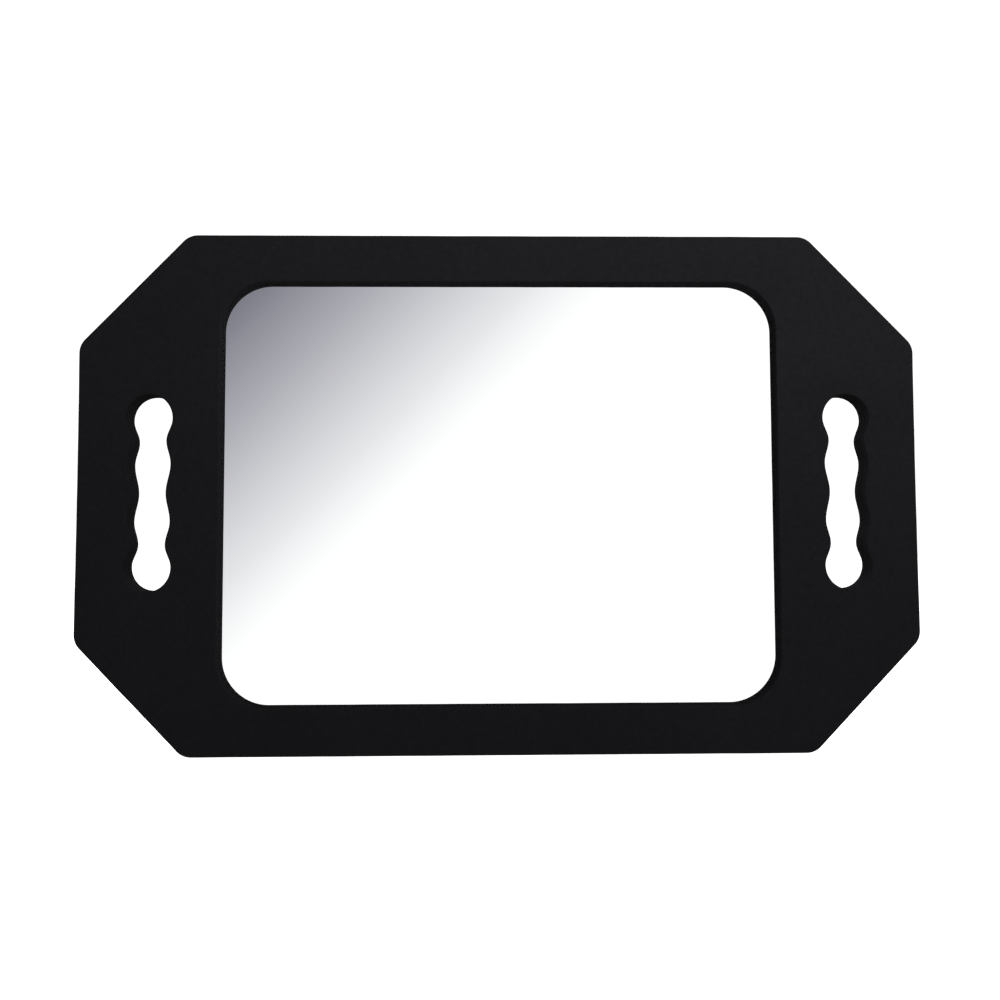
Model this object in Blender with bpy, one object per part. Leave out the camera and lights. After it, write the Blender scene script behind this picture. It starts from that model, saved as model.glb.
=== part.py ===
"""Hand mirror with two finger-slot handles, modelled as its separate pieces.

A salon back mirror: three die-cut foam sheets are glued face to face. The front sheet has the mirror
window, the middle sheet has the pocket that holds the glass, and the back sheet is closed behind it.
Both ends of all three sheets are cut through by a slot with four finger lobes, which makes the handles.

Metres, +Z up. The board stands on its long bottom edge and the mirror faces -Y. The origin is the
middle of the bottom edge, halfway through the thickness. Front means the -Y side.
"""

import math

import bmesh
import bpy

# ---- Board outline ----
BOARD_WIDTH = 0.420
BOARD_HEIGHT = 0.260
CORNER_CUT_X = 0.054  # each corner is cut off straight, this far along the long edge
CORNER_CUT_Z = 0.056  # and this far along the end
CORNER_RADIUS = 0.010  # rounding where a cut meets an edge

# ---- Finger slots: a scalloped outline, half widths at the wide lobes and at the necks between them ----
GRIP_WIDTH = 0.0232  # foam outside the slot, which the hand closes round
END_LOBE_HALF_WIDTH = 0.0118
MIDDLE_LOBE_HALF_WIDTH = 0.0111
NECK_HALF_WIDTH = 0.0089
NECK_TO_MIDDLE_LOBE = 0.0145  # steps along the slot, counted from its middle neck
MIDDLE_LOBE_TO_NECK = 0.0115
NECK_TO_END_LOBE = 0.0110
END_CAP_RISE = 0.0121  # from the end lobe's widest place to the slot's end
END_CAP_SQUARENESS = 2.05  # exponent of the rounded end, 2 is a plain ellipse

# ---- Mirror window in the front sheet ----
SLOT_TO_WINDOW = 0.0231
WINDOW_TO_LONG_EDGE = 0.0235
WINDOW_RADIUS = 0.024

# ---- Glass and its pocket in the middle sheet ----
LIP_OVER_GLASS = 0.006  # how far the front sheet overlaps the glass, all round
POCKET_CLEARANCE = 0.0005
GLASS_CORNER_RADIUS = 0.010

# ---- Thicknesses, front to back ----
FRONT_SHEET_THICKNESS = 0.0049
GLASS_THICKNESS = 0.0020
SILVER_THICKNESS = 0.0001
SAFETY_FILM_THICKNESS = 0.00015
TAPE_THICKNESS = 0.00055
BACK_SHEET_THICKNESS = 0.0033
BOND_FILM_THICKNESS = 0.0002
FACE_GAP = 0.0002  # left between pieces that lie face to face

# ---- Tape, coat and film edges ----
TAPE_WIDTH = 0.019
TAPE_EDGE_INSET = 0.008
TAPE_END_GAP = 0.004  # between the ends of the side strips and the long strips
COAT_EDGE_INSET = 0.0010  # bare glass left round the silver
FILM_EDGE_INSET = 0.0015
BOND_EDGE_INSET = 0.0008  # glue stays back from the cut edges

# ---- Edges and facets ----
SHEET_EDGE_RADIUS = 0.0008
SHEET_EDGE_SEGMENTS = 2
CORNER_SEGMENTS = 5
WINDOW_SEGMENTS = 8
LOBE_SEGMENTS = 6  # between a neck and the next lobe
CAP_SEGMENTS = 10  # from a lobe's widest place to the slot's end
WELD_DISTANCE = 0.000001

# ---- Places worked out from the values above ----
SLOT_CENTRE_X = BOARD_WIDTH / 2 - GRIP_WIDTH - END_LOBE_HALF_WIDTH
WINDOW_WIDTH = 2 * (SLOT_CENTRE_X - END_LOBE_HALF_WIDTH - SLOT_TO_WINDOW)
WINDOW_HEIGHT = BOARD_HEIGHT - 2 * WINDOW_TO_LONG_EDGE
GLASS_WIDTH = WINDOW_WIDTH + 2 * LIP_OVER_GLASS
GLASS_HEIGHT = WINDOW_HEIGHT + 2 * LIP_OVER_GLASS
POCKET_WIDTH = GLASS_WIDTH + 2 * POCKET_CLEARANCE
POCKET_HEIGHT = GLASS_HEIGHT + 2 * POCKET_CLEARANCE
POCKET_RADIUS = GLASS_CORNER_RADIUS + POCKET_CLEARANCE

GLASS_STACK = (GLASS_THICKNESS, SILVER_THICKNESS, SAFETY_FILM_THICKNESS, TAPE_THICKNESS)
POCKET_DEPTH = sum(GLASS_STACK) + (len(GLASS_STACK) + 1) * FACE_GAP
CORE_THICKNESS = POCKET_DEPTH - 2 * BOND_FILM_THICKNESS - 4 * FACE_GAP
BOARD_THICKNESS = FRONT_SHEET_THICKNESS + POCKET_DEPTH + BACK_SHEET_THICKNESS
FRONT_Y = -BOARD_THICKNESS / 2
POCKET_FRONT_Y = FRONT_Y + FRONT_SHEET_THICKNESS
POCKET_BACK_Y = POCKET_FRONT_Y + POCKET_DEPTH


# ---- Outlines, as lists of (x, z) about the board's centre ----
def rounded_polygon(corners, radius, segments):
    """A closed outline with each corner, given in order, replaced by an arc that meets both its sides."""
    points = []
    for index, (x, z) in enumerate(corners):
        before = corners[index - 1]
        after = corners[(index + 1) % len(corners)]
        angle_in = math.atan2(z - before[1], x - before[0])
        angle_out = math.atan2(after[1] - z, after[0] - x)
        turn = (angle_out - angle_in + math.pi) % (2 * math.pi) - math.pi
        setback = radius * math.tan(abs(turn) / 2)
        side = math.copysign(1, turn)
        centre_x = x - setback * math.cos(angle_in) - side * radius * math.sin(angle_in)
        centre_z = z - setback * math.sin(angle_in) + side * radius * math.cos(angle_in)
        for step in range(segments + 1):
            angle = angle_in + turn * step / segments - side * math.pi / 2
            points.append((centre_x + radius * math.cos(angle), centre_z + radius * math.sin(angle)))
    return points


def rounded_rectangle(width, height, radius, segments):
    x, z = width / 2, height / 2
    return rounded_polygon([(-x, -z), (x, -z), (x, z), (-x, z)], radius, segments)


def board_outline(inset=0.0):
    """The board's eight-sided outline. An inset moves every side in by the same distance."""
    x, z = BOARD_WIDTH / 2 - inset, BOARD_HEIGHT / 2 - inset
    cut_length = math.hypot(CORNER_CUT_X, CORNER_CUT_Z)
    # With every side moved in, the cut side takes this much less off the long edge and off the end.
    cut_x = CORNER_CUT_X - inset * (CORNER_CUT_X + CORNER_CUT_Z - cut_length) / CORNER_CUT_Z
    cut_z = CORNER_CUT_Z - inset * (CORNER_CUT_X + CORNER_CUT_Z - cut_length) / CORNER_CUT_X
    corners = [
        (-x + cut_x, -z),
        (x - cut_x, -z),
        (x, -z + cut_z),
        (x, z - cut_z),
        (x - cut_x, z),
        (-x + cut_x, z),
        (-x, z - cut_z),
        (-x, -z + cut_z),
    ]
    return rounded_polygon(corners, CORNER_RADIUS - inset, CORNER_SEGMENTS)


def slot_quarter(outset):
    """One quarter of the slot, from its middle neck to its end, as (half width, height) pairs.

    Between a neck and a lobe the half width follows half a cosine wave. The end is a quarter of a
    superellipse, so its side starts upright where the last wave stops.
    """
    places = [
        (NECK_HALF_WIDTH, NECK_TO_MIDDLE_LOBE),
        (MIDDLE_LOBE_HALF_WIDTH, MIDDLE_LOBE_TO_NECK),
        (NECK_HALF_WIDTH, NECK_TO_END_LOBE),
        (END_LOBE_HALF_WIDTH, 0.0),
    ]
    quarter = []
    height = 0.0
    for (start, step_length), (end, _) in zip(places, places[1:]):
        for step in range(LOBE_SEGMENTS):
            share = step / LOBE_SEGMENTS
            ease = (1 - math.cos(math.pi * share)) / 2
            quarter.append((start + (end - start) * ease + outset, height + step_length * share))
        height += step_length
    for step in range(CAP_SEGMENTS + 1):
        angle = math.pi / 2 * step / CAP_SEGMENTS
        half_width = (END_LOBE_HALF_WIDTH + outset) * math.cos(angle) ** (2 / END_CAP_SQUARENESS)
        rise = (END_CAP_RISE + outset) * math.sin(angle) ** (2 / END_CAP_SQUARENESS)
        quarter.append((half_width, height + rise))
    return quarter


def slot_outline(side, outset=0.0):
    """The finger slot on one side, -1 or 1. An outset makes the hole wider all round."""
    quarter = slot_quarter(outset)
    up = quarter[:-1]
    over = quarter[:0:-1]
    half = up + [(-w, h) for w, h in over]
    outline = half + [(-x, -z) for x, z in half]
    return [(side * SLOT_CENTRE_X + x, z) for x, z in outline]


def slots(outset=0.0):
    return [slot_outline(side, outset) for side in (-1, 1)]


# ---- Making pieces ----
def make_collection():
    collection = bpy.data.collections.new("hand_mirror")
    bpy.context.scene.collection.children.link(collection)
    return collection


def principled(name, colour, roughness, metallic=0.0):
    material = bpy.data.materials.new(name)
    material.use_nodes = True
    shader = material.node_tree.nodes["Principled BSDF"]
    shader.inputs["Base Color"].default_value = (*colour, 1.0)
    shader.inputs["Roughness"].default_value = roughness
    shader.inputs["Metallic"].default_value = metallic
    return material


def flat_sheet(name, outlines, front_y, thickness, material):
    """A flat sheet upright in the XZ plane, from its outer outline followed by those of its holes.

    The sheet is a filled 2D curve. Its local Z points to the front, so local +Z is its front face.
    """
    curve = bpy.data.curves.new(name, "CURVE")
    curve.dimensions = "2D"
    curve.fill_mode = "BOTH"
    curve.extrude = thickness / 2
    for outline in outlines:
        spline = curve.splines.new("POLY")
        spline.points.add(len(outline) - 1)
        for point, (x, z) in zip(spline.points, outline):
            point.co = (x, z, 0.0, 1.0)
        spline.use_cyclic_u = True
    shape = bpy.data.objects.new(name + "_outline", curve)
    shape.rotation_euler = (math.pi / 2, 0, 0)
    shape.location = (0, front_y + thickness / 2, BOARD_HEIGHT / 2)
    COLLECTION.objects.link(shape)
    bpy.context.view_layer.update()

    evaluated = shape.evaluated_get(bpy.context.evaluated_depsgraph_get())
    mesh = bpy.data.meshes.new_from_object(evaluated)
    mesh.name = name
    sheet = bpy.data.objects.new(name, mesh)
    sheet.matrix_world = shape.matrix_world
    COLLECTION.objects.link(sheet)
    bpy.data.objects.remove(shape)

    edit = bmesh.new()
    edit.from_mesh(mesh)
    bmesh.ops.remove_doubles(edit, verts=edit.verts, dist=WELD_DISTANCE)
    bmesh.ops.recalc_face_normals(edit, faces=edit.faces)
    edit.to_mesh(mesh)
    edit.free()
    mesh.materials.clear()
    mesh.materials.append(material)
    return sheet


def round_sheet_edges(sheet, facing):
    """Rounds the edges round one face of a sheet: facing is 1 for its front face, -1 for its back face."""
    edit = bmesh.new()
    edit.from_mesh(sheet.data)
    level = max(facing * vertex.co.z for vertex in edit.verts)
    edges = [
        edge
        for edge in edit.edges
        if all(abs(facing * vertex.co.z - level) < WELD_DISTANCE for vertex in edge.verts)
        and edge.calc_face_angle() > math.radians(45)
    ]
    bmesh.ops.bevel(
        edit,
        geom=edges,
        offset=SHEET_EDGE_RADIUS,
        segments=SHEET_EDGE_SEGMENTS,
        profile=0.5,
        affect="EDGES",
    )
    edit.to_mesh(sheet.data)
    edit.free()


# ---- The pieces ----
def make_front_frame(foam):
    window = rounded_rectangle(WINDOW_WIDTH, WINDOW_HEIGHT, WINDOW_RADIUS, WINDOW_SEGMENTS)
    outlines = [board_outline(), window, *slots()]
    sheet = flat_sheet("front_frame", outlines, FRONT_Y, FRONT_SHEET_THICKNESS, foam)
    round_sheet_edges(sheet, 1)


def make_core_frame(foam):
    pocket = rounded_rectangle(POCKET_WIDTH, POCKET_HEIGHT, POCKET_RADIUS, CORNER_SEGMENTS)
    front_y = POCKET_FRONT_Y + BOND_FILM_THICKNESS + 2 * FACE_GAP
    flat_sheet("core_frame", [board_outline(), pocket, *slots()], front_y, CORE_THICKNESS, foam)


def make_back_panel(foam):
    outlines = [board_outline(), *slots()]
    sheet = flat_sheet("back_panel", outlines, POCKET_BACK_Y, BACK_SHEET_THICKNESS, foam)
    round_sheet_edges(sheet, -1)


def make_bond_films(glue):
    """Glue films in front of and behind the middle sheet, held back from every cut edge."""
    pocket = rounded_rectangle(
        POCKET_WIDTH + 2 * BOND_EDGE_INSET,
        POCKET_HEIGHT + 2 * BOND_EDGE_INSET,
        POCKET_RADIUS + BOND_EDGE_INSET,
        CORNER_SEGMENTS,
    )
    outlines = [board_outline(BOND_EDGE_INSET), pocket, *slots(BOND_EDGE_INSET)]
    places = {
        "front_bond_film": POCKET_FRONT_Y + FACE_GAP,
        "rear_bond_film": POCKET_BACK_Y - FACE_GAP - BOND_FILM_THICKNESS,
    }
    for name, front_y in places.items():
        flat_sheet(name, outlines, front_y, BOND_FILM_THICKNESS, glue)


def make_glass_stack(glass, silver, film):
    """The glass, the silver on its back and the safety film over that. Returns where the tape starts."""
    layers = [
        ("mirror_pane", 0.0, GLASS_THICKNESS, glass),
        ("silver_coat", COAT_EDGE_INSET, SILVER_THICKNESS, silver),
        ("safety_film", FILM_EDGE_INSET, SAFETY_FILM_THICKNESS, film),
    ]
    front_y = POCKET_FRONT_Y + FACE_GAP
    for name, inset, thickness, material in layers:
        outline = rounded_rectangle(
            GLASS_WIDTH - 2 * inset,
            GLASS_HEIGHT - 2 * inset,
            GLASS_CORNER_RADIUS - inset,
            CORNER_SEGMENTS,
        )
        flat_sheet(name, [outline], front_y, thickness, material)
        front_y += thickness + FACE_GAP
    return front_y


def make_tape_strips(tape, front_y):
    """Four double-sided strips between the film and the back sheet: two long ones and two between them."""
    reach_x = GLASS_WIDTH / 2 - TAPE_EDGE_INSET
    reach_z = GLASS_HEIGHT / 2 - TAPE_EDGE_INSET
    side_height = 2 * (reach_z - TAPE_WIDTH - TAPE_END_GAP)
    strips = {
        "tape_top": (0, reach_z - TAPE_WIDTH / 2, 2 * reach_x, TAPE_WIDTH),
        "tape_bottom": (0, -reach_z + TAPE_WIDTH / 2, 2 * reach_x, TAPE_WIDTH),
        "tape_left": (-reach_x + TAPE_WIDTH / 2, 0, TAPE_WIDTH, side_height),
        "tape_right": (reach_x - TAPE_WIDTH / 2, 0, TAPE_WIDTH, side_height),
    }
    for name, (x, z, width, height) in strips.items():
        mesh = bpy.data.meshes.new(name)
        edit = bmesh.new()
        bmesh.ops.create_cube(edit, size=1.0)
        bmesh.ops.scale(edit, vec=(width, TAPE_THICKNESS, height), verts=edit.verts)
        edit.to_mesh(mesh)
        edit.free()
        mesh.materials.append(tape)
        strip = bpy.data.objects.new(name, mesh)
        strip.location = (x, front_y + TAPE_THICKNESS / 2, BOARD_HEIGHT / 2 + z)
        COLLECTION.objects.link(strip)


for leftover in list(bpy.data.objects):
    bpy.data.objects.remove(leftover)
COLLECTION = make_collection()

black_foam = principled("black_foam", (0.012, 0.012, 0.013), 0.9)
make_front_frame(black_foam)
make_core_frame(black_foam.copy())
make_back_panel(black_foam.copy())
make_bond_films(principled("black_glue", (0.03, 0.028, 0.026), 0.5))
tape_y = make_glass_stack(
    principled("mirror_glass", (0.90, 0.92, 0.92), 0.02, metallic=1.0),
    principled("silver_and_paint", (0.72, 0.72, 0.73), 0.30, metallic=1.0),
    principled("safety_film", (0.55, 0.60, 0.66), 0.35),
)
make_tape_strips(principled("foam_tape", (0.80, 0.80, 0.77), 0.7), tape_y)
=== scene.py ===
# %% [markdown]
# # A foam hand mirror with two finger slots
#
# This is the mirror a hairdresser holds up behind a client's head. Its frame is a flat board of black
# closed-cell foam, three sheets glued face to face. The front sheet has a window for the mirror, and a
# slot with four finger lobes is cut through each end. Nothing moves, so every piece rides on one body.
#
# The imported model already gives the place and the size of every piece. We could model them all again
# here, but then they would have to be fitted. So we load the imported model, work in its frame, and keep
# its box.

# %% Load the frame
import math

import bmesh
import bpy
import numpy as np
from mathutils import Matrix, Vector


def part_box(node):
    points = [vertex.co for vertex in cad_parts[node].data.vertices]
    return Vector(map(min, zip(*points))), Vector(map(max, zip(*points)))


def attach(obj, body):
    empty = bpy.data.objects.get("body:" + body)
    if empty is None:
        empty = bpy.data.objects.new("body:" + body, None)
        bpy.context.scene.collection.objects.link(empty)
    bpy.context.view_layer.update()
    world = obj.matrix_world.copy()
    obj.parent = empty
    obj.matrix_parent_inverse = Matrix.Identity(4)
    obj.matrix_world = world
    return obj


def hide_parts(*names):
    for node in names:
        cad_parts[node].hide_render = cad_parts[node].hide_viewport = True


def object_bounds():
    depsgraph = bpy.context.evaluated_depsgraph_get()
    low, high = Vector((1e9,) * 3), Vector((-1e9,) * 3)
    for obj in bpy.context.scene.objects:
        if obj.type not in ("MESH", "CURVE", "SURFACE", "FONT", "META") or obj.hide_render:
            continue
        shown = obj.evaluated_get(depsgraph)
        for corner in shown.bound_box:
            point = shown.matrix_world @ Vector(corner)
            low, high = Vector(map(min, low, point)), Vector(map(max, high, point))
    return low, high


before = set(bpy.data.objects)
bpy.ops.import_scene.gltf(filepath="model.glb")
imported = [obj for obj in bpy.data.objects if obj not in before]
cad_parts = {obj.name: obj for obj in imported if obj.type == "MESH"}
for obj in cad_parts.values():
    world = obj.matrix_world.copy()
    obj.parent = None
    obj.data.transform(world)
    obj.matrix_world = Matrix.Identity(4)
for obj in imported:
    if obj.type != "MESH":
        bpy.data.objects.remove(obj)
cad_low, cad_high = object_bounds()
middle = (cad_low + cad_high) / 2
BODY = "root"
print("board", [round(high - low, 4) for low, high in zip(cad_low, cad_high)])

# %% [markdown]
# ## Camera
#
# The board stands upright and is seen from about 40 cm away. The eye is near its middle, a little low
# and a little to the left, and it looks slightly up. A short lens this close shows the inner walls of the
# window and of the slots, which is how we can tell that they have depth.
#
# A camera can be lined up by hand in the viewport. Here it is placed by distances from the board's own
# box instead, so that the view stays right if the board changes.

# %% Place the camera
LENS_MM = 29.53
SENSOR_MM = 36.0
EYE_DISTANCE = 0.4088  # from the board's front face
EYE_OFFSET = (-0.0069, -0.0234)  # right and up from the board's middle
AIM_OFFSET = (0.0, -0.0041)
CAMERA_ROLL = math.radians(-0.18)
NEAREST_SEEN = 0.01

front_y = cad_low.y
eye = Vector((middle.x + EYE_OFFSET[0], front_y - EYE_DISTANCE, middle.z + EYE_OFFSET[1]))
aim = Vector((middle.x + AIM_OFFSET[0], front_y, middle.z + AIM_OFFSET[1]))
lens = bpy.data.cameras.new("viewer")
lens.lens = LENS_MM
lens.sensor_width = SENSOR_MM
lens.clip_start = NEAREST_SEEN
camera = bpy.data.objects.new("viewer", lens)
level_view = (aim - eye).to_track_quat("-Z", "Y").to_matrix()
camera.matrix_world = Matrix.Translation(eye) @ (level_view @ Matrix.Rotation(CAMERA_ROLL, 3, "Z")).to_4x4()
bpy.context.scene.collection.objects.link(camera)
bpy.context.scene.camera = camera
print("camera at", [round(value, 4) for value in eye], "with a lens of", LENS_MM, "mm")

# %% [markdown]
# ## Wiring
#
# The sky and every finish are networks of nodes. They could be wired by hand in the editor, but a script
# says what is joined to what, and can be run again. Two helpers keep it short.

# %% Join two sockets, and add a math node
WHITE = (1.0, 1.0, 1.0, 1.0)
COLOUR_A, COLOUR_B, COLOUR_OUT = 6, 7, 2  # places of a Mix node's colour sockets, whose names are shared


def join(tree, source, target):
    tree.links.new(source, target)


def math_node(tree, operation, first, second, clamp=False):
    """A math node whose two inputs are each a number or an output socket. Returns its output."""
    node = tree.nodes.new("ShaderNodeMath")
    node.operation = operation
    node.use_clamp = clamp
    for socket, value in zip(node.inputs, (first, second)):
        if isinstance(value, (int, float)):
            socket.default_value = value
        else:
            join(tree, value, socket)
    return node.outputs["Value"]


# %% [markdown]
# ## Studio
#
# A mirror shows whatever stands in front of it, and in a white room it would be a blank white rectangle.
# So the sky that shiny surfaces see has a soft grey corner, high up on the left in front of the board.
# Its slanting fade is what tells the eye that the glass is polished.
#
# A printed card in front of the board would do that too, but a card has edges, and from some sides the
# mirror would show them. A fade in the sky itself has none.

# %% A slanting fade for reflections
FADE_SLOPES = (-1.24, -0.10)  # rightward minus upward slope of a reflected ray, at the two ends
FADE_STOPS = (
    (0.0, 0.05), (0.30, 0.09), (0.52, 0.13), (0.61, 0.23),
    (0.735, 0.45), (0.86, 0.74), (0.94, 0.92), (1.0, 1.0),
)
GREY_BLUENESS = 0.28  # how much more blue than red the darkest grey has
LEAST_AHEAD = 0.05  # keeps the fade's division safe for rays that run sideways or backwards


def fade_colour(tree):
    """A ramp over (x - z) / -y of the direction seen, which is a straight slanting fade on a flat mirror."""
    split = tree.nodes.new("ShaderNodeSeparateXYZ")
    join(tree, tree.nodes.new("ShaderNodeTexCoord").outputs["Generated"], split.inputs["Vector"])
    slant = math_node(tree, "SUBTRACT", split.outputs["X"], split.outputs["Z"])
    ahead = math_node(tree, "MAXIMUM", math_node(tree, "MULTIPLY", split.outputs["Y"], -1.0), LEAST_AHEAD)
    span = tree.nodes.new("ShaderNodeMapRange")
    span.inputs["From Min"].default_value = FADE_SLOPES[0]
    span.inputs["From Max"].default_value = FADE_SLOPES[1]
    join(tree, math_node(tree, "DIVIDE", slant, ahead), span.inputs["Value"])
    ramp = tree.nodes.new("ShaderNodeValToRGB")
    ramp.color_ramp.interpolation = "B_SPLINE"
    while len(ramp.color_ramp.elements) < len(FADE_STOPS):
        ramp.color_ramp.elements.new(0.5)
    for element, (position, value) in zip(ramp.color_ramp.elements, FADE_STOPS):
        element.position = position
        element.color = (value, value, value * (1 + GREY_BLUENESS * (1 - value) ** 2), 1.0)
    join(tree, span.outputs["Result"], ramp.inputs["Fac"])
    return ramp.outputs["Color"]


print("the fade goes from", FADE_STOPS[0][1], "to", FADE_STOPS[-1][1])

# %% [markdown]
# The sky is plain white. A panorama of a real room could be used instead, but its shapes would show in
# the mirror. Black foam under an all-white sky would look grey, so rough surfaces get a much weaker sky
# than the one we see, and only reflected rays see the fade. The Light Path node tells them apart.

# %% White sky
SKY_BRIGHT = 1.15
SKY_ON_ROUGH = 0.46


def make_sky():
    """White for all rays but reflected ones, and weaker for rays that leave a rough surface."""
    sky = bpy.data.worlds.new("white_sky")
    sky.use_nodes = True
    tree = sky.node_tree
    path = tree.nodes.new("ShaderNodeLightPath")
    colour = tree.nodes.new("ShaderNodeMix")
    colour.data_type = "RGBA"
    colour.inputs[COLOUR_A].default_value = WHITE
    join(tree, path.outputs["Is Glossy Ray"], colour.inputs["Factor"])
    join(tree, fade_colour(tree), colour.inputs[COLOUR_B])
    strength = tree.nodes.new("ShaderNodeMix")
    strength.inputs["A"].default_value = SKY_BRIGHT
    strength.inputs["B"].default_value = SKY_ON_ROUGH
    join(tree, path.outputs["Is Diffuse Ray"], strength.inputs["Factor"])
    background = tree.nodes["Background"]
    join(tree, colour.outputs[COLOUR_OUT], background.inputs["Color"])
    join(tree, strength.outputs["Result"], background.inputs["Strength"])
    bpy.context.scene.world = sky


make_sky()
bpy.context.scene.view_settings.view_transform = "Standard"
print("sky", SKY_BRIGHT, "and", SKY_ON_ROUGH, "for rough surfaces")

# %% [markdown]
# The board stands on something like a light table. A sheet of paper that curves up behind it would do
# as well. A flat plane that glows white is simpler, and it leaves no horizon and hardly any shadow. It
# doesn't light the board and isn't seen in the mirror, where it would end in a line.

# %% Light-table floor
FLOOR_SIZE = 8.0
FLOOR_GLOW = 0.95
FLOOR_PAINT = (0.9, 0.9, 0.9, 1.0)
FLOOR_ROUGHNESS = 0.8


def make_floor():
    half = FLOOR_SIZE / 2
    mesh = bpy.data.meshes.new("floor")
    mesh.from_pydata([(-half, -half, 0), (half, -half, 0), (half, half, 0), (-half, half, 0)], [], [range(4)])
    floor = bpy.data.objects.new("floor", mesh)
    bpy.context.scene.collection.objects.link(floor)
    floor.visible_diffuse = False
    floor.visible_glossy = False
    material = bpy.data.materials.new("white_floor")
    material.use_nodes = True
    shader = material.node_tree.nodes["Principled BSDF"]
    shader.inputs["Base Color"].default_value = FLOOR_PAINT
    shader.inputs["Roughness"].default_value = FLOOR_ROUGHNESS
    shader.inputs["Emission Color"].default_value = WHITE
    shader.inputs["Emission Strength"].default_value = FLOOR_GLOW
    mesh.materials.append(material)


make_floor()
print("floor", FLOOR_SIZE, "m square")

# %% [markdown]
# One lamp stands in front, up and to the right. It is aimed over the board's top edge, so the board sits
# in the soft margin of the beam and the far lower corner gets much less than the near upper one. A
# broader lamp does the same for the back. Three more stand farther out, just behind the board's plane,
# and pick out its cut edges without touching the front. One big soft light would be less work, but it
# would fill the walls of the window and the slots, which have to stay dark. The mirror shows no lamp.

# %% Lamps
# Places are offsets from the board's middle: right, back, up.
KEY = {"place": (0.28, -0.60, 0.25), "aim": (0.15, 0.0, 0.58), "watts": 3.7, "size": 0.16, "beam": 140}
REAR = {"place": (-0.30, 0.70, 0.45), "aim": (0.0, 0.0, 0.20), "watts": 2.2, "size": 0.40, "beam": 140}
LEFT = {"place": (-0.90, 0.06, 0.25), "aim": (0.0, 0.0, 0.0), "watts": 3.0, "size": 0.16, "beam": 160}
RIGHT = {"place": (0.90, 0.06, 0.25), "aim": (0.0, 0.0, 0.0), "watts": 3.0, "size": 0.16, "beam": 160}
ABOVE = {"place": (0.0, 0.06, 0.95), "aim": (0.0, 0.0, 0.0), "watts": 3.0, "size": 0.16, "beam": 160}


def soft_lamp(name, place, aim, watts, size, beam):
    lamp = bpy.data.lights.new(name, "AREA")
    lamp.energy = watts
    lamp.size = size
    lamp.spread = math.radians(beam)
    stand = bpy.data.objects.new(name, lamp)
    start, end = middle + Vector(place), middle + Vector(aim)
    turned = (end - start).to_track_quat("-Z", "Y").to_matrix().to_4x4()
    stand.matrix_world = Matrix.Translation(start) @ turned
    stand.visible_camera = False
    stand.visible_glossy = False
    bpy.context.scene.collection.objects.link(stand)


for lamp_name, setting in {"key": KEY, "rear": REAR, "left": LEFT, "right": RIGHT, "above": ABOVE}.items():
    soft_lamp(f"{lamp_name}_lamp", **setting)
    print(lamp_name, "lamp", setting["watts"], "W")

# %% [markdown]
# ## Shared surface effects
#
# Several finishes use the same effects, so each effect is built once as a node group and placed in a
# material with its own values. A picture of foam could be wrapped round each piece, but it would have
# seams at the cut edges and blur close up. These patterns are functions of the place in space, so they
# run on over an edge.

# %% Start a node group
def new_group(name, inputs, outputs):
    """A shader node group with a Vector input for the place, and named number inputs and outputs."""
    group = bpy.data.node_groups.new(name, "ShaderNodeTree")
    group.interface.new_socket("Vector", in_out="INPUT", socket_type="NodeSocketVector")
    for title in inputs:
        group.interface.new_socket(title, in_out="INPUT", socket_type="NodeSocketFloat")
    for title in outputs:
        group.interface.new_socket(title, in_out="OUTPUT", socket_type="NodeSocketFloat")
    return group, group.nodes.new("NodeGroupInput"), group.nodes.new("NodeGroupOutput")


# %% [markdown]
# Closed-cell foam has a skin of tiny flattened bubbles, and where it is cut the bubbles are open. Both
# are cells: a bubble is highest at its cell's centre and falls with the distance from it. Modelling the
# bubbles would take millions of faces, and light only needs to know how their surface tilts.

# %% Foam cells
GRAINS_PER_CELL = 0.2


def make_cells_group():
    """Height is 1 less the distance to the nearest cell centre, plus noise. Tone is that noise alone."""
    group, start, end = new_group("foam_cells", ["Cells per metre", "Unevenness"], ["Height", "Tone"])
    cells = group.nodes.new("ShaderNodeTexVoronoi")
    join(group, start.outputs["Vector"], cells.inputs["Vector"])
    join(group, start.outputs["Cells per metre"], cells.inputs["Scale"])
    grain = group.nodes.new("ShaderNodeTexNoise")
    grain.inputs["Detail"].default_value = 4.0
    join(group, start.outputs["Vector"], grain.inputs["Vector"])
    coarse = math_node(group, "MULTIPLY", start.outputs["Cells per metre"], GRAINS_PER_CELL)
    join(group, coarse, grain.inputs["Scale"])
    uneven = math_node(group, "MULTIPLY", grain.outputs["Fac"], start.outputs["Unevenness"])
    dome = math_node(group, "SUBTRACT", 1.0, cells.outputs["Distance"])
    join(group, math_node(group, "ADD", dome, uneven), end.inputs["Height"])
    join(group, grain.outputs["Fac"], end.inputs["Tone"])
    return group


foam_cells = make_cells_group()
print(foam_cells.name, len(foam_cells.nodes), "nodes")

# %% [markdown]
# No surface is quite even: foam gets rubbed, glass gets smudged, paint is rolled on and glue is smeared.
# Such clouds could be painted on each piece by hand. Noise with more contrast gives all of them, at any
# size and without a seam.

# %% Clouds
def make_clouds_group():
    """A mask of noise whose distance from one half is multiplied by the Sharpness, cut off at 0 and 1."""
    group, start, end = new_group("clouds", ["Clouds per metre", "Sharpness"], ["Mask"])
    noise = group.nodes.new("ShaderNodeTexNoise")
    noise.inputs["Detail"].default_value = 5.0
    noise.inputs["Distortion"].default_value = 0.6
    join(group, start.outputs["Vector"], noise.inputs["Vector"])
    join(group, start.outputs["Clouds per metre"], noise.inputs["Scale"])
    centred = math_node(group, "SUBTRACT", noise.outputs["Fac"], 0.5)
    contrast = math_node(group, "MULTIPLY", centred, start.outputs["Sharpness"])
    join(group, math_node(group, "ADD", contrast, 0.5, clamp=True), end.inputs["Mask"])
    return group


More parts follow.
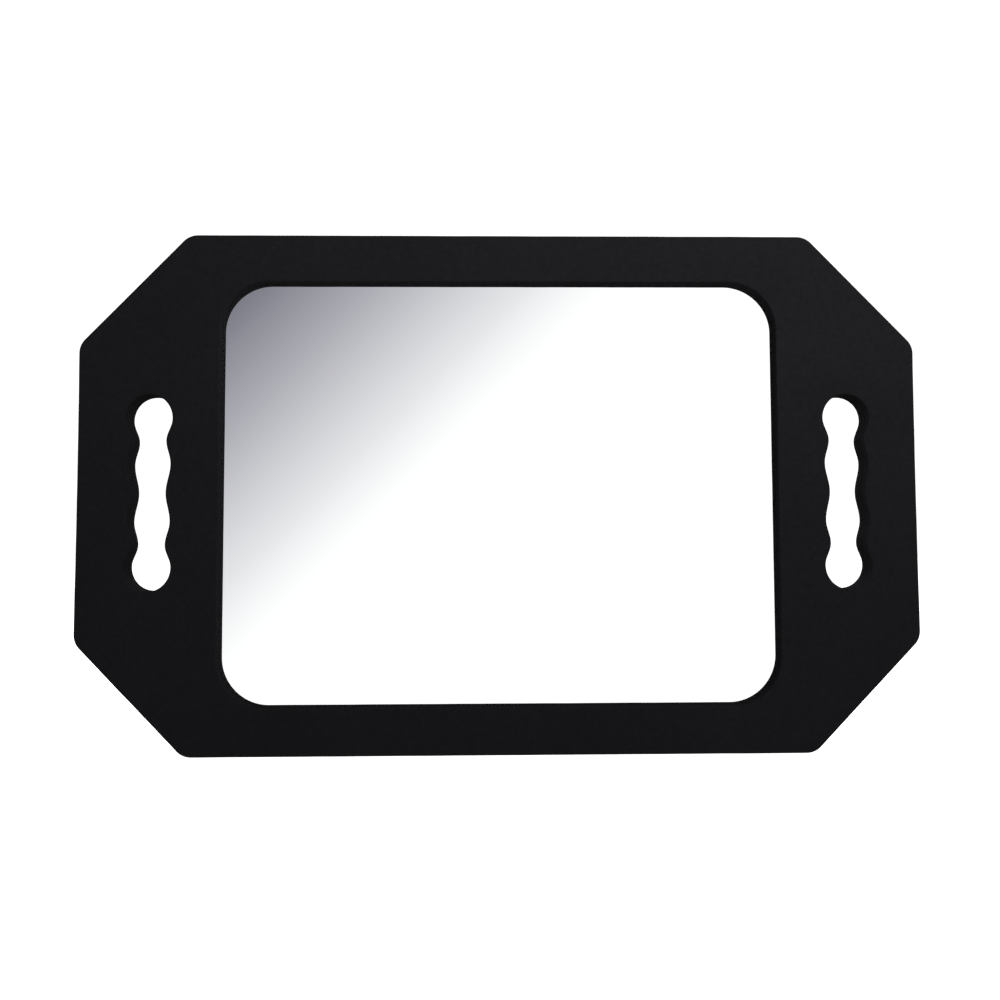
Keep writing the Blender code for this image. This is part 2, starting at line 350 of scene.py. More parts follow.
clouds = make_clouds_group()
print(clouds.name, len(clouds.nodes), "nodes")

# %% [markdown]
# Here and there a bubble of the foam has burst and left a pinhole. The holes could be cut into the
# sheets, but they are far smaller than the grids that follow. So they are only a mask, from cells so far
# apart that a small spot at each centre is enough. The foam finish sinks each hole by a bump and paints
# the shade inside it as a darker colour.

# %% Pinholes
def make_pinholes_group():
    """A mask from 1 at a hole's middle to 0 at its rim. Size is the rim's radius, in parts of a cell."""
    group, start, end = new_group("pinholes", ["Holes per metre", "Size"], ["Mask"])
    spots = group.nodes.new("ShaderNodeTexVoronoi")
    join(group, start.outputs["Vector"], spots.inputs["Vector"])
    join(group, start.outputs["Holes per metre"], spots.inputs["Scale"])
    depth = math_node(group, "DIVIDE", spots.outputs["Distance"], start.outputs["Size"])
    join(group, math_node(group, "SUBTRACT", 1.0, depth, clamp=True), end.inputs["Mask"])
    return group


pinholes = make_pinholes_group()
print(pinholes.name, len(pinholes.nodes), "nodes")


# %% [markdown]
# Every finish starts the same way: one shader, a place on the object, and masks that blend two colours
# or two numbers. Each finish could spell all of that out. With a few small helpers it reads like a
# recipe instead.

# %% Helpers that start and wire a material
def new_material(name, specular):
    """A material, its node tree, its Principled shader and its Object coordinates."""
    material = bpy.data.materials.new(name)
    material.use_nodes = True
    tree = material.node_tree
    shader = tree.nodes["Principled BSDF"]
    shader.inputs["Specular IOR Level"].default_value = specular
    return material, tree, shader, tree.nodes.new("ShaderNodeTexCoord").outputs["Object"]


def use_group(tree, group, place, values):
    """A shared effect placed in a material, with its own values."""
    node = tree.nodes.new("ShaderNodeGroup")
    node.node_tree = group
    join(tree, place, node.inputs["Vector"])
    for title, value in values.items():
        node.inputs[title].default_value = value
    return node


def blend_colours(tree, mask, first, second):
    """Goes from the first colour to the second as the mask goes from 0 to 1."""
    mix = tree.nodes.new("ShaderNodeMix")
    mix.data_type = "RGBA"
    join(tree, mask, mix.inputs["Factor"])
    for socket, value in ((mix.inputs[COLOUR_A], first), (mix.inputs[COLOUR_B], second)):
        if isinstance(value, tuple):
            socket.default_value = (*value, 1.0)
        else:
            join(tree, value, socket)
    return mix.outputs[COLOUR_OUT]


def value_between(tree, mask, low, high):
    """A number from low to high as the mask goes from 0 to 1."""
    span = tree.nodes.new("ShaderNodeMapRange")
    join(tree, mask, span.inputs["Value"])
    span.inputs["To Min"].default_value = low
    span.inputs["To Max"].default_value = high
    return span.outputs["Result"]


def bump(tree, shader, height, depth, strength):
    """Tilts the shader's normal as a height would, with 1 standing for the given depth in metres."""
    node = tree.nodes.new("ShaderNodeBump")
    node.inputs["Distance"].default_value = depth
    node.inputs["Strength"].default_value = strength
    join(tree, height, node.inputs["Height"])
    join(tree, node.outputs["Normal"], shader.inputs["Normal"])


# %% [markdown]
# ## Foam
#
# The foam is dyed through, a near black that is very slightly blue. Its flat faces have the closed skin,
# and its cut walls have open cells, which are coarser, duller and a little greyer. The walls' colour is
# made lighter still: painted fill light for walls that sit in shade in the window and the slots. Each
# sheet stores an attribute named cut, 0 on the flat faces and 1 on the walls, so one material can tell
# them apart and fade from one to the other round the edges. Two materials would leave a hard line there.

# %% Foam material
SKIN_DARK = (0.0100, 0.0100, 0.0113)
SKIN_WORN = (0.0116, 0.0116, 0.0130)
# open cells are greyer, and this colour is lighter still as painted fill light for walls in shade
CUT_FOAM_WITH_PAINTED_FILL = (0.0138, 0.0138, 0.0152)
# painted shade inside a burst bubble
PINHOLE_SHADE = (0.0040, 0.0040, 0.0045)
SKIN_SHINE = 0.02  # open cells have none
SKIN_MOTTLE = (0.75, 1.25)  # darkest and lightest patch, as parts of the colour
SKIN_ROUGHNESS = (0.78, 0.94)
SKIN_UNEVENNESS = 0.8
CUT_UNEVENNESS = 1.6
RUBBED = {"Clouds per metre": 14.0, "Sharpness": 2.2}
HOLES_PER_METRE = 110.0
HOLE_SIZE = 0.05
HOLE_DEPTH = 3.0  # in bubble heights
BUBBLE_DEPTH = 0.00006
BUBBLE_STRENGTH = 0.6


def foam_material(name, skin_cells, cut_cells):
    """Black foam, closed skin on flat faces and open cells on cut walls, in cells per metre; the walls'
    colour holds painted fill light.
    """
    material, tree, shader, place = new_material(name, specular=SKIN_SHINE)
    attribute = tree.nodes.new("ShaderNodeAttribute")
    attribute.attribute_name = "cut"
    cut = attribute.outputs["Fac"]
    skin_values = {"Cells per metre": skin_cells, "Unevenness": SKIN_UNEVENNESS}
    open_values = {"Cells per metre": cut_cells, "Unevenness": CUT_UNEVENNESS}
    skin = use_group(tree, foam_cells, place, skin_values)
    open_cells = use_group(tree, foam_cells, place, open_values)
    rubbed = use_group(tree, clouds, place, RUBBED)
    burst = use_group(tree, pinholes, place, {"Holes per metre": HOLES_PER_METRE, "Size": HOLE_SIZE})
    holes = burst.outputs["Mask"]

    face = blend_colours(tree, rubbed.outputs["Mask"], SKIN_DARK, SKIN_WORN)
    mottled = tree.nodes.new("ShaderNodeVectorMath")
    mottled.operation = "SCALE"
    # The cut walls take the lighter colour, which carries painted fill light.
    join(tree, blend_colours(tree, cut, face, CUT_FOAM_WITH_PAINTED_FILL), mottled.inputs["Vector"])
    join(tree, value_between(tree, skin.outputs["Tone"], *SKIN_MOTTLE), mottled.inputs["Scale"])
    # Pinholes darken the colour: painted shade inside each hole.
    join(tree, blend_colours(tree, holes, mottled.outputs["Vector"], PINHOLE_SHADE), shader.inputs["Base Color"])
    join(tree, value_between(tree, skin.outputs["Tone"], *SKIN_ROUGHNESS), shader.inputs["Roughness"])
    join(tree, value_between(tree, cut, SKIN_SHINE, 0.0), shader.inputs["Specular IOR Level"])

    heights = tree.nodes.new("ShaderNodeMix")
    join(tree, cut, heights.inputs["Factor"])
    join(tree, skin.outputs["Height"], heights.inputs["A"])
    join(tree, open_cells.outputs["Height"], heights.inputs["B"])
    pits = math_node(tree, "MULTIPLY", holes, HOLE_DEPTH)
    height = math_node(tree, "SUBTRACT", heights.outputs["Result"], pits)
    bump(tree, shader, height, depth=BUBBLE_DEPTH, strength=BUBBLE_STRENGTH)
    print(name, "finish has", len(tree.nodes), "nodes")
    return material


# %% [markdown]
# ## Outlines
#
# Every cut edge of the board is a path in the upright plane. The board and the window are straight sides
# joined by arcs. The slot is a wavy side between named wide and narrow places, closed by a rounded end.
# They could be drawn as curves with handles, but a formula is exact and follows when a size changes. All
# of them are symmetric, so we only work out the quarter to the right and above the middle.

# %% Sizes of the cut edges
HALF_WIDTH = (cad_high.x - cad_low.x) / 2
HALF_HEIGHT = (cad_high.z - cad_low.z) / 2
CORNER_CUT = (0.054, 0.056)
CORNER_RADIUS = 0.010
GRIP_WIDTH = 0.0232
SLOT_TO_WINDOW = 0.0231
WINDOW_TO_LONG_EDGE = 0.0235
WINDOW_RADIUS = 0.024
LIP_OVER_GLASS = 0.006
POCKET_CLEARANCE = 0.0005
GLASS_RADIUS = 0.010
SLOT_HEIGHTS = np.array([0.0, 0.0145, 0.0260, 0.0370])  # neck, lobe, neck, lobe, from the middle up
SLOT_HALF_WIDTHS = np.array([0.0089, 0.0111, 0.0089, 0.0118])
SLOT_END_RISE = 0.0121
SLOT_END_SQUARENESS = 2.05  # 2 is a plain ellipse

END_LOBE = SLOT_HALF_WIDTHS[-1]
SLOT_X = HALF_WIDTH - GRIP_WIDTH - END_LOBE
WINDOW_HALF = (SLOT_X - END_LOBE - SLOT_TO_WINDOW, HALF_HEIGHT - WINDOW_TO_LONG_EDGE)
POCKET_HALF = tuple(half + LIP_OVER_GLASS + POCKET_CLEARANCE for half in WINDOW_HALF)
POCKET_RADIUS = GLASS_RADIUS + POCKET_CLEARANCE
print("window", [round(2 * half, 4) for half in WINDOW_HALF], "slot centre", round(SLOT_X, 4))

# %% [markdown]
# A path is first made of dense points. The grids that follow then read as many points from it as they
# want, by the distance along it. Geometry nodes can read a curve in the same way, but the grids are
# built with numpy, so it is simpler to read the points with it too.

# %% Distances along a path
def lengths(path):
    """Distance along a path at each of its points."""
    return np.concatenate([[0.0], np.cumsum(np.linalg.norm(np.diff(path, axis=0), axis=1))])


def read_path(path, stations, foam_side):
    """Points at the given distances, and the unit direction into the foam there, 1 for left, -1 for right."""
    along = lengths(path)
    tangent = np.gradient(path, along, axis=0)
    point = np.column_stack([np.interp(stations, along, path[:, k]) for k in (0, 1)])
    ahead = np.column_stack([np.interp(stations, along, tangent[:, k]) for k in (0, 1)])
    ahead /= np.linalg.norm(ahead, axis=1, keepdims=True)
    ahead[[0, -1]] = ahead[[0, -1]].round()  # both ends cross a line of symmetry at a right angle
    return point, foam_side * np.column_stack([-ahead[:, 1], ahead[:, 0]])


def spread(stops, counts):
    """Distances evenly spread between each pair of stops, with the given number of steps."""
    runs = [np.linspace(a, b, n, endpoint=False) for a, b, n in zip(stops, stops[1:], counts)]
    return np.concatenate([*runs, [stops[-1]]])


# %% [markdown]
# The board's corners are cut off by the die at a slant, and every corner is rounded, because a sharp one
# would tear. A bevel could round them later, but then each grid would have to be cut to match. Arcs in
# the path itself cost nothing.

# %% Straight sides joined by arcs
def rounded_path(corners, radius, arc_points=60):
    """Straight sides through the corners, with an arc at each inner corner.

    The arc starts before the corner, by the radius times the tangent of half the turn. From there it goes
    round its centre, which lies a radius to the side that the path turns to.
    """
    corners = np.array(corners)
    parts = [corners[:1]]
    for before, corner, after in zip(corners, corners[1:], corners[2:]):
        way_in = (corner - before) / np.linalg.norm(corner - before)
        way_out = (after - corner) / np.linalg.norm(after - corner)
        turn = math.atan2(way_in[0] * way_out[1] - way_in[1] * way_out[0], way_in @ way_out)
        start = corner - way_in * radius * math.tan(abs(turn) / 2)
        inward = np.array([-way_in[1], way_in[0]]) * math.copysign(radius, turn)
        angle = np.linspace(0, turn, arc_points)[:, None]
        parts.append(start + inward - inward * np.cos(angle) + way_in * radius * np.sin(np.abs(angle)))
    return np.vstack([*parts, corners[-1:]])


board_path = rounded_path(
    [
        (HALF_WIDTH, 0),
        (HALF_WIDTH, HALF_HEIGHT - CORNER_CUT[1]),
        (HALF_WIDTH - CORNER_CUT[0], HALF_HEIGHT),
        (0, HALF_HEIGHT),
    ],
    CORNER_RADIUS,
)
print("board", round(4 * lengths(board_path)[-1], 4), "m round")


# %% [markdown]
# Each slot has four lobes for the four fingers, with narrow necks between them. Circles joined together
# would leave corners at the necks. Half a cosine wave between a wide and a narrow place has no slope at
# either, so the side runs smoothly from lobe to lobe.

# %% The wavy slot
def slot_path(points=300):
    """The slot's upper half round its own centre, from its outer neck over the end to its inner neck.

    Between two named heights the half width follows half a cosine wave. The end is a superellipse.
    """
    height = np.linspace(0, SLOT_HEIGHTS[-1], points, endpoint=False)
    step = np.searchsorted(SLOT_HEIGHTS, height, side="right") - 1
    share = (height - SLOT_HEIGHTS[step]) / (SLOT_HEIGHTS[step + 1] - SLOT_HEIGHTS[step])
    rise = SLOT_HALF_WIDTHS[step + 1] - SLOT_HALF_WIDTHS[step]
    side = np.column_stack([SLOT_HALF_WIDTHS[step] + rise * (1 - np.cos(np.pi * share)) / 2, height])
    angle = np.linspace(0, np.pi / 2, points)
    power = 2 / SLOT_END_SQUARENESS
    end_x = END_LOBE * np.abs(np.cos(angle)) ** power
    end_z = SLOT_HEIGHTS[-1] + SLOT_END_RISE * np.sin(angle) ** power
    end_x[-1] = 0.0
    outer = np.vstack([side, np.column_stack([end_x, end_z])])
    inner = outer[-2::-1] * (-1, 1)
    return np.vstack([outer, inner])


print("slot", round(2 * lengths(slot_path())[-1], 4), "m round")


# %% [markdown]
# ## A sheet as patches of a grid
#
# One quarter of a sheet is covered by grids that share their edges, with no long thin triangles. A seam
# line runs upright, midway between the window and the slot. Outside it, a grid runs from the slot to the
# board's edge; inside it, another runs from the window to the seam and the top edge. Grids that meet have
# the same steps along their shared edge, so the steps are named for the stretches they cover.
#
# A filled curve with a bevel is quicker to make, but its flat faces are a few long triangles. They can't
# dip or draw in as foam does, and light runs over them in streaks.

# %% How the points are shared out
SEAM_X = WINDOW_HALF[0] + SLOT_TO_WINDOW / 2
LEVEL_Z = 0.060  # the height on seam, window and board end that matches the slot's widest place
STEPS_SIDE = 36  # board's end, against the slot's outer side
STEPS_CUT = 56  # up the corner cut, against the slot's outer end
STEPS_STUB = 28  # on to the seam, against the slot's inner end
STEPS_HIGH = 28  # upper part of the seam
STEPS_LOW = 28  # lower part of the seam
STEPS_BEND = 12  # over the window's corner
STEPS_TOP = 36  # along the top
FACE_ROWS = 9
print("seam at", round(SEAM_X, 4), "with", STEPS_LOW + STEPS_HIGH, "steps")


# %% [markdown]
# Each edge is read at the steps of the grid beside it. An even spread would be simpler, but then the
# grid's lines would slant across the face. So each edge has a stop at every place that must lie opposite
# one on the other edge, with the steps spread between the stops.

# %% Points on each cut edge
def board_edge():
    """Points and inward directions round the board's edge, and how many of them lie outside the seam."""
    along = lengths(board_path)
    at_cut = np.interp(-SLOT_X, -board_path[:, 0], along)
    at_seam = along[-1] - SEAM_X
    at_bend = along[-1] - (WINDOW_HALF[0] - WINDOW_RADIUS)
    stops = [0, LEVEL_Z, at_cut, at_seam, at_bend, along[-1]]
    steps = [STEPS_SIDE, STEPS_CUT, STEPS_STUB, STEPS_BEND, STEPS_TOP]
    return read_path(board_path, spread(stops, steps), 1), sum(steps[:3])


def slot_edge():
    """The slot's points and its directions into the foam, with a point at each end of its widest lobes."""
    path = slot_path()
    along = lengths(path)
    to_lobe = along[np.argmax(path[:, 0])]
    to_end = along[-1] / 2
    to_stub = to_end + (to_end - to_lobe) * STEPS_STUB / (STEPS_STUB + STEPS_HIGH)
    stops = [0, to_lobe, to_end, to_stub, along[-1] - to_lobe, along[-1]]
    steps = [STEPS_SIDE, STEPS_CUT, STEPS_STUB, STEPS_HIGH, STEPS_LOW]
    point, inward = read_path(path, spread(stops, steps), -1)
    return point + (SLOT_X, 0), inward


def opening_edge(half_size, radius):
    """Points and directions into the foam up an opening's right side, over its arc and along its top."""
    path = rounded_path([(half_size[0], 0), half_size, (0, half_size[1])], radius)
    along = lengths(path)
    bend = radius * math.pi / 2
    to_bend = half_size[1] - radius
    stops = [0, LEVEL_Z, to_bend + bend / 2, to_bend + bend, along[-1]]
    steps = [STEPS_LOW, STEPS_HIGH, STEPS_BEND, STEPS_TOP]
    return read_path(path, spread(stops, steps), -1)


print("slot edge has", len(slot_edge()[0]), "points")


# %% [markdown]
# Every patch is one of two kinds. A face is a straight blend between two matching rows of points. A cut
# edge is a profile carried along its path. Blender's Fill and Bevel tools make such surfaces too, but
# they choose the points themselves, and here both kinds have to meet point for point.

# %% Two kinds of patch
def blend_rows(inner, outer, y):
    """A flat grid between two matching rows of (x, z) points, with its rows closer together at both ends."""
    share = (1 - np.cos(np.linspace(0, np.pi, FACE_ROWS))) / 2
    flat = inner[None] + share[:, None, None] * (outer - inner)[None]
    return np.stack([flat[..., 0], np.full(flat.shape[:2], y), flat[..., 1]], axis=-1)


def carry(edge, profile):
    """A profile of (depth into the foam, y) pairs carried along an edge."""
    point, inward = edge
    flat = point[None] + profile[:, 0, None, None] * inward[None]
    y = np.broadcast_to(profile[:, 1, None], flat.shape[:2])
    return np.stack([flat[..., 0], y, flat[..., 1]], axis=-1)


# %% [markdown]
# The die presses the foam down before it cuts, so the edge comes out rolled over, with a wall that is
# slightly hollow where the foam swells back. One flat wall between sharp edges would be simpler, but it
# catches no light along its edges and looks like card.

# %% Profile of a cut edge
ROLL_STEPS = 6
WALL_STEPS = 7
WALL_HOLLOW = 0.00012


def edge_profile(front, back, front_roll, back_roll):
    """Quarter of an ellipse over the front edge, a wall hollowed by a sine, and a quarter ellipse behind."""
    turn = np.linspace(0, np.pi / 2, ROLL_STEPS + 1)
    down = np.linspace(0, 1, WALL_STEPS + 1)[1:-1]
    wall_front, wall_back = front + front_roll[1], back - back_roll[1]
    over = np.column_stack([front_roll[0] * (1 - np.sin(turn)), front + front_roll[1] * (1 - np.cos(turn))])
    wall = np.column_stack([WALL_HOLLOW * np.sin(np.pi * down), wall_front + (wall_back - wall_front) * down])
    under = np.column_stack([back_roll[0] * (1 - np.sin(turn)), back - back_roll[1] * (1 - np.cos(turn))])
    return np.vstack([over, wall, under[::-1]])


print("edge profile", 2 * (ROLL_STEPS + 1) + WALL_STEPS - 1, "points")


# %% [markdown]
# Now the patches of one quarter: both flat faces, and the profile along every cut edge. The faces stop
# where the roll begins, so each of their edges is moved into the foam by the width of the roll.

# %% One quarter of a sheet
def seam_rows(top):
    """The seam's points from the middle up, ending at the given height."""
    z = spread([0, LEVEL_Z, top], [STEPS_LOW, STEPS_HIGH])
    return np.column_stack([np.full(len(z), SEAM_X), z])


def face_patches(y, roll, opening):
    """The flat face at height y, whose edges are rolled back by the given distance."""
    (board, board_in), outside = board_edge()
    slot, slot_in = slot_edge()
    board = board + roll * board_in
    slot = slot + roll * slot_in
    seam = seam_rows(board[outside][1])
    handle = blend_rows(slot, np.vstack([board[:outside], seam[::-1]]), y)
    top = board[outside + 1 :]
    if opening is None:
        x, z = np.meshgrid(np.concatenate([[SEAM_X], top[:, 0]]), seam[:, 1])
        return [handle, np.stack([x, np.full_like(x, y), z], axis=-1)]
    edge, edge_in = opening_edge(*opening)
    return [handle, blend_rows(edge + roll * edge_in, np.vstack([seam, top]), y)]


def quarter_patches(front, back, front_roll, back_roll, opening):
    """Both flat faces of a sheet's quarter, and the edge profile carried along each of its cut edges."""
    profile = edge_profile(front, back, front_roll, back_roll)
    patches = face_patches(front, front_roll[0], opening) + face_patches(back, back_roll[0], opening)
    patches += [carry(board_edge()[0], profile), carry(slot_edge(), profile)]
    if opening is not None:
        patches.append(carry(opening_edge(*opening), profile))
    return patches


closed_face = face_patches(y=0.0, roll=0.0, opening=None)
print("a quarter of a closed face has", sum(patch[..., 0].size for patch in closed_face), "points")


# %% [markdown]
# The whole sheet is that quarter mirrored twice. A Mirror modifier would do the same, but the small moves
# of real foam, which come next, differ from side to side, so the points are mirrored here first.

# %% The whole sheet
def whole_mesh(patches):
    """Mirrors each quarter grid to all four, and returns all points and all four-cornered faces."""
    points, faces, count = [], [], 0
    for patch in patches:
        for side in (-1, 1):
            for up in (-1, 1):
                grid = (patch * (side, 1, up))[:, :: side * up]
                index = np.arange(grid[..., 0].size).reshape(grid.shape[:2]) + count
                quads = np.stack([index[:-1, :-1], index[:-1, 1:], index[1:, 1:], index[1:, :-1]], axis=-1)
                points.append(grid.reshape(-1, 3))
                faces.append(quads.reshape(-1, 4))
                count += index.size
    return np.vstack(points), np.vstack(faces)


print("a whole closed face has", len(whole_mesh(closed_face)[1]), "faces")

# %% [markdown]
# ## What real foam does to a flat outline
#
# A die-cut board isn't a drawing. The strip of foam outside each slot has nothing behind it and draws in
# a little at mid height, the cut line wanders by hundredths of a millimetre, and a big face is never
# dead flat. A cloth simulation could bend a soft pad, but this foam is stiff and hardly moves. So the
# small moves are smooth functions of the place, added to the finished grid, and they only go inwards,
# which keeps the sheet in its box.

# %% Small moves of real foam
GRIP_DRAW_IN = 0.0003
CUT_WANDER = 0.00004
FACE_DIP = 0.00010
# Radians per metre along x and along z, and the wave's share of the sheet's phase.
WAVES = ((52, 31, 1.0), (-37, 67, 2.1), (95, -23, 3.7))
CUT_LINE_WAVES = 3  # times as many waves along a cut line as over a face


def slow_waves(x, z, phase):
    """A smooth number from -1 to 1: the mean of three sine waves that cross at odd angles."""
    return sum(np.sin(across * x + up * z + share * phase) for across, up, share in WAVES) / len(WAVES)


def settle(points, front, back, facing, phase):
    """Moves a sheet's points as real foam does. facing is 1, -1 or 0: which face is free to dip.

    The ends draw in by a smooth step across the slot times a parabola over the height. The cut line
    moves in by slow waves in proportion to its distance from the middle. The free face dips by slow
    waves, less and less towards the other face.
    """
    x, y, z = points.T
    outer = np.clip((np.abs(x) - (SLOT_X - SLOT_HALF_WIDTHS[0])) / (2 * SLOT_HALF_WIDTHS[0]), 0, 1)
    straight_end = HALF_HEIGHT - CORNER_CUT[1]
    bow = np.clip(1 - (z / straight_end) ** 2, 0, 1)
    x = x - np.sign(x) * GRIP_DRAW_IN * outer**2 * (3 - 2 * outer) * bow
    x_now = x
    x = x - x / HALF_WIDTH * CUT_WANDER * (1 + slow_waves(CUT_LINE_WAVES * z, x, phase))
    z = z - z / HALF_HEIGHT * CUT_WANDER * (1 + slow_waves(CUT_LINE_WAVES * x_now, z, phase + 1))
    depth = (back - y) / (back - front)
    dip = FACE_DIP * (1 + slow_waves(x, z, phase + 2)) / 2
    y = y + dip * np.where(facing > 0, depth, 0) - dip * np.where(facing < 0, 1 - depth, 0)
    return np.column_stack([x, y, z + middle.z])


print("ends draw in by up to", GRIP_DRAW_IN * 1000, "mm")

# %% [markdown]
# The grids of one sheet share their edge points, so merging those points closes it. Mirrored grids can
# face inwards, and the normals are worked out again once the sheet is closed. Each point then stores how
# far the surface there has turned away from the flat face, for the foam finish.

# %% Make a sheet from its grids
SEAM_MERGE = 0.00001  # points that two grids share lie closer than this, and all others farther apart


def make_piece(name, points, faces, material, node):
    """A closed mesh from points and faces, its grids merged and its faces turned outwards."""
    mesh = bpy.data.meshes.new(name)
    mesh.from_pydata(points.tolist(), [], faces.tolist())
    edit = bmesh.new()
    edit.from_mesh(mesh)
    bmesh.ops.remove_doubles(edit, verts=edit.verts, dist=SEAM_MERGE)
    bmesh.ops.recalc_face_normals(edit, faces=edit.faces)
    print(name, len(edit.faces), "faces,", sum(not edge.is_manifold for edge in edit.edges), "open edges")
    edit.to_mesh(mesh)
    edit.free()
    mesh.shade_smooth()
    mesh.materials.append(material)
    piece = bpy.data.objects.new(name, mesh)
    bpy.context.scene.collection.objects.link(piece)
    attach(piece, BODY)
    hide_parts(node)
    return piece


def store_cut(piece):
    """Stores how far each point's surface has turned away from the flat faces, 0 to 1."""
    mesh = piece.data
    normals = np.empty(len(mesh.vertices) * 3)
    mesh.vertex_normals.foreach_get("vector", normals)
    cut = 1 - np.abs(normals.reshape(-1, 3)[:, 1])
    mesh.attributes.new("cut", "FLOAT", "POINT").data.foreach_set("value", cut)


def foam_sheet(name, node, front, back, opening, front_roll, back_roll, facing, phase, material):
    """One sheet of foam from y = front to y = back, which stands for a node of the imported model."""
    points, faces = whole_mesh(quarter_patches(front, back, front_roll, back_roll, opening))
    points = settle(points, front, back, facing, phase)
    piece = make_piece(name, points, faces, material, node)
    store_cut(piece)


# %% [markdown]
# ## The three sheets
#
# The front edge of the front sheet and the rear edge of the back sheet are rolled over by the cutting
# die. The edges at the glue lines stay crisp, so the board's side shows two fine lines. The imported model
# leaves a small gap between neighbours, and a sheet pressed onto its glue has none. So each glued face
# is moved onto its glue film, or light would shine through between the sheets. One thick block would
# look the same from the front, but from the side it would lose those lines.

# %% Front, middle and back sheet
OUTER_ROLL = (0.0006, 0.0006)  # across the face, and down the wall
GLUED_ROLL = (0.0002, 0.0002)

front_glue = [corner[1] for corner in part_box("front_bond_film")]
rear_glue = [corner[1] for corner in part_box("rear_bond_film")]

foam_sheet(
    "front_foam_sheet", "front_frame",
    front=cad_low.y, back=front_glue[0], opening=(WINDOW_HALF, WINDOW_RADIUS),
    front_roll=OUTER_ROLL, back_roll=GLUED_ROLL, facing=1, phase=0.4,
    material=foam_material("front_foam", skin_cells=1900, cut_cells=1500),
)
foam_sheet(
    "middle_foam_sheet", "core_frame",
    front=front_glue[1], back=rear_glue[0], opening=(POCKET_HALF, POCKET_RADIUS),
    front_roll=GLUED_ROLL, back_roll=GLUED_ROLL, facing=0, phase=1.7,
    material=foam_material("middle_foam", skin_cells=1700, cut_cells=1400),
)
foam_sheet(
    "back_foam_sheet", "back_panel",
    front=rear_glue[1], back=cad_high.y, opening=None,
    front_roll=GLUED_ROLL, back_roll=OUTER_ROLL, facing=-1, phase=2.9,
    material=foam_material("back_foam", skin_cells=1900, cut_cells=1500),
)

# %% [markdown]
# ## Mirror, coat, film, tape and glue
#
# These pieces are flat and exact. They could be modelled again, with nothing gained. So they keep the
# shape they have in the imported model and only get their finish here.

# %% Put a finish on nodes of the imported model
def finish_nodes(names, material):
    """The material takes the place of the plain one on each named node."""
    for name in names:
        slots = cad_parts[name].data.materials
        slots.clear()
        slots.append(material)
    print(material.name, "on", ", ".join(names))


# %% [markdown]
# The mirror is silvered glass that is often wiped clean. Clear glass with a silver face behind it
# would be truer, and would add a faint second reflection. One polished metal is simpler: fully metallic,
# almost perfectly smooth, with the faintest smudges.

# %% Mirror
MIRROR_CLEAN = (0.955, 0.960, 0.960)
MIRROR_SMUDGED = (0.950, 0.955, 0.955)
MIRROR_ROUGHNESS = (0.006, 0.022)
SMUDGES = {"Clouds per metre": 9.0, "Sharpness": 2.6}


def mirror_material():
    """Polished metal whose colour and roughness change very slightly with cloudy smudges."""
    material, tree, shader, place = new_material("mirror_glass", specular=0.5)
    shader.inputs["Metallic"].default_value = 1.0
    smudge = use_group(tree, clouds, place, SMUDGES).outputs["Mask"]
    join(tree, blend_colours(tree, smudge, MIRROR_CLEAN, MIRROR_SMUDGED), shader.inputs["Base Color"])
    join(tree, value_between(tree, smudge, *MIRROR_ROUGHNESS), shader.inputs["Roughness"])
    return material


finish_nodes(["mirror_pane"], mirror_material())

# %% [markdown]
# Behind the silver is the grey paint that protects it. It is rolled on, so it is uneven, and some silver
# dust shines in it. A plain grey would pass at a glance, since the piece is hidden in the board, but it
# would look like bare plastic when the board is taken apart.

# %% Silver coat
PAINT_DARK = (0.34, 0.35, 0.37)
PAINT_LIGHT = (0.42, 0.43, 0.45)
PAINT_ROUGHNESS = (0.45, 0.62)
PAINT_DEPTH = 0.00002
DUST_SHARE = 0.3  # how metallic the paint is
ROLLED = {"Clouds per metre": 60.0, "Sharpness": 2.0}


def coat_material():
    """Dull grey paint with silver dust in it: clouds change its colour, its roughness and its height."""
    material, tree, shader, place = new_material("silver_and_paint", specular=0.4)
    shader.inputs["Metallic"].default_value = DUST_SHARE
    rolled = use_group(tree, clouds, place, ROLLED).outputs["Mask"]
    join(tree, blend_colours(tree, rolled, PAINT_DARK, PAINT_LIGHT), shader.inputs["Base Color"])
    join(tree, value_between(tree, rolled, *PAINT_ROUGHNESS), shader.inputs["Roughness"])
    bump(tree, shader, rolled, depth=PAINT_DEPTH, strength=0.5)
    return material


finish_nodes(["silver_coat"], coat_material())

# %% [markdown]
# A film on the paint holds the splinters if the glass breaks. It has threads woven into it, about 2 mm
# apart. They could be modelled as strands, but they hardly stand out from the film. Two sets of waves
# that cross, with the higher one showing, give the same weave.

# %% Safety film
FILM_BLUE = (0.50, 0.55, 0.61)
THREAD_PALE = (0.60, 0.65, 0.70)
FILM_ROUGHNESS = (0.30, 0.42)
THREAD_DEPTH = 0.00003
THREAD_SCALE = 160.0


def film_material():
    """A plastic film with a fine woven thread in it: the higher of two sets of sine bands that cross."""
    material, tree, shader, place = new_material("safety_film", specular=0.5)
    bands = []
    for axis in ("X", "Z"):
        band = tree.nodes.new("ShaderNodeTexWave")
        band.bands_direction = axis
        band.inputs["Scale"].default_value = THREAD_SCALE
        join(tree, place, band.inputs["Vector"])
        bands.append(band.outputs["Fac"])
    threads = math_node(tree, "MAXIMUM", *bands)
    join(tree, blend_colours(tree, threads, FILM_BLUE, THREAD_PALE), shader.inputs["Base Color"])
    join(tree, value_between(tree, threads, *FILM_ROUGHNESS), shader.inputs["Roughness"])
    bump(tree, shader, threads, depth=THREAD_DEPTH, strength=0.5)
    return material


finish_nodes(["safety_film"], film_material())

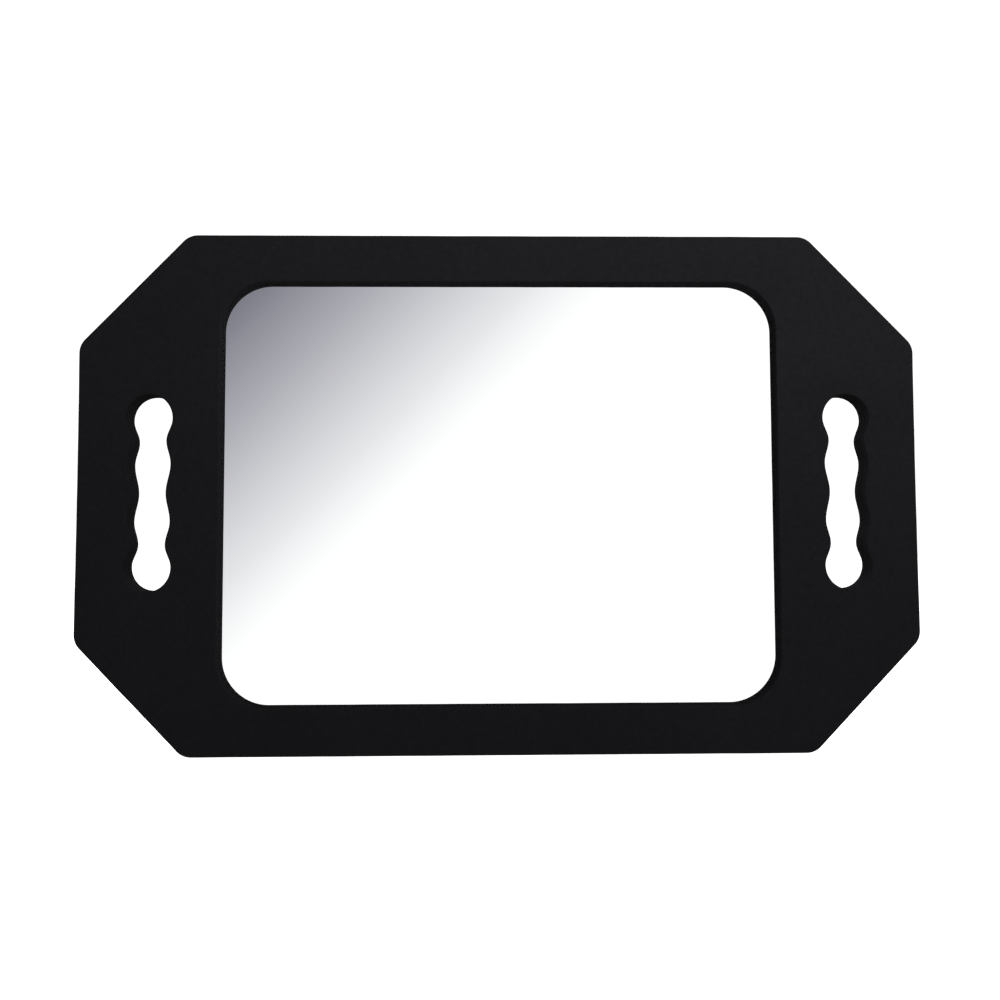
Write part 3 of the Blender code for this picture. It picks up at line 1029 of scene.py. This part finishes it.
# %% [markdown]
# Four strips of white foam tape hold the pane to the back sheet. Their foam has finer cells than the
# board's, so the foam cells group is used again with more of them per metre. A new group would do the
# same thing twice.

# %% Foam tape
TAPE_DARK = (0.70, 0.70, 0.67)
TAPE_LIGHT = (0.84, 0.84, 0.81)
TAPE_ROUGHNESS = (0.60, 0.80)
TAPE_CELL_DEPTH = 0.00005
TAPE_CELLS = {"Cells per metre": 2600.0, "Unevenness": 1.0}


def tape_material():
    """White foam tape: small cells change its height, and their noise its colour and roughness."""
    material, tree, shader, place = new_material("foam_tape", specular=0.3)
    cells = use_group(tree, foam_cells, place, TAPE_CELLS)
    tone = cells.outputs["Tone"]
    join(tree, blend_colours(tree, tone, TAPE_DARK, TAPE_LIGHT), shader.inputs["Base Color"])
    join(tree, value_between(tree, tone, *TAPE_ROUGHNESS), shader.inputs["Roughness"])
    bump(tree, shader, cells.outputs["Height"], depth=TAPE_CELL_DEPTH, strength=0.6)
    return material


finish_nodes(["tape_top", "tape_bottom", "tape_left", "tape_right"], tape_material())

# %% [markdown]
# The sheets are held together by thin black glue. From outside its edge is at most a fine line round the
# board. Plain black would do for that line, but its wide faces show when the board is taken apart, so it
# is smeared into clouds that are lighter and rougher.

# %% Glue
GLUE_WET = (0.010, 0.009, 0.009)
GLUE_DRY = (0.022, 0.020, 0.019)
GLUE_ROUGHNESS = (0.35, 0.60)
GLUE_DEPTH = 0.00003
SMEARED = {"Clouds per metre": 45.0, "Sharpness": 3.0}


def glue_material():
    """Thin black glue, smeared into clouds that are lighter, rougher and a little higher."""
    material, tree, shader, place = new_material("black_glue", specular=0.4)
    smear = use_group(tree, clouds, place, SMEARED).outputs["Mask"]
    join(tree, blend_colours(tree, smear, GLUE_WET, GLUE_DRY), shader.inputs["Base Color"])
    join(tree, value_between(tree, smear, *GLUE_ROUGHNESS), shader.inputs["Roughness"])
    bump(tree, shader, smear, depth=GLUE_DEPTH, strength=0.5)
    return material


finish_nodes(["front_bond_film", "rear_bond_film"], glue_material())
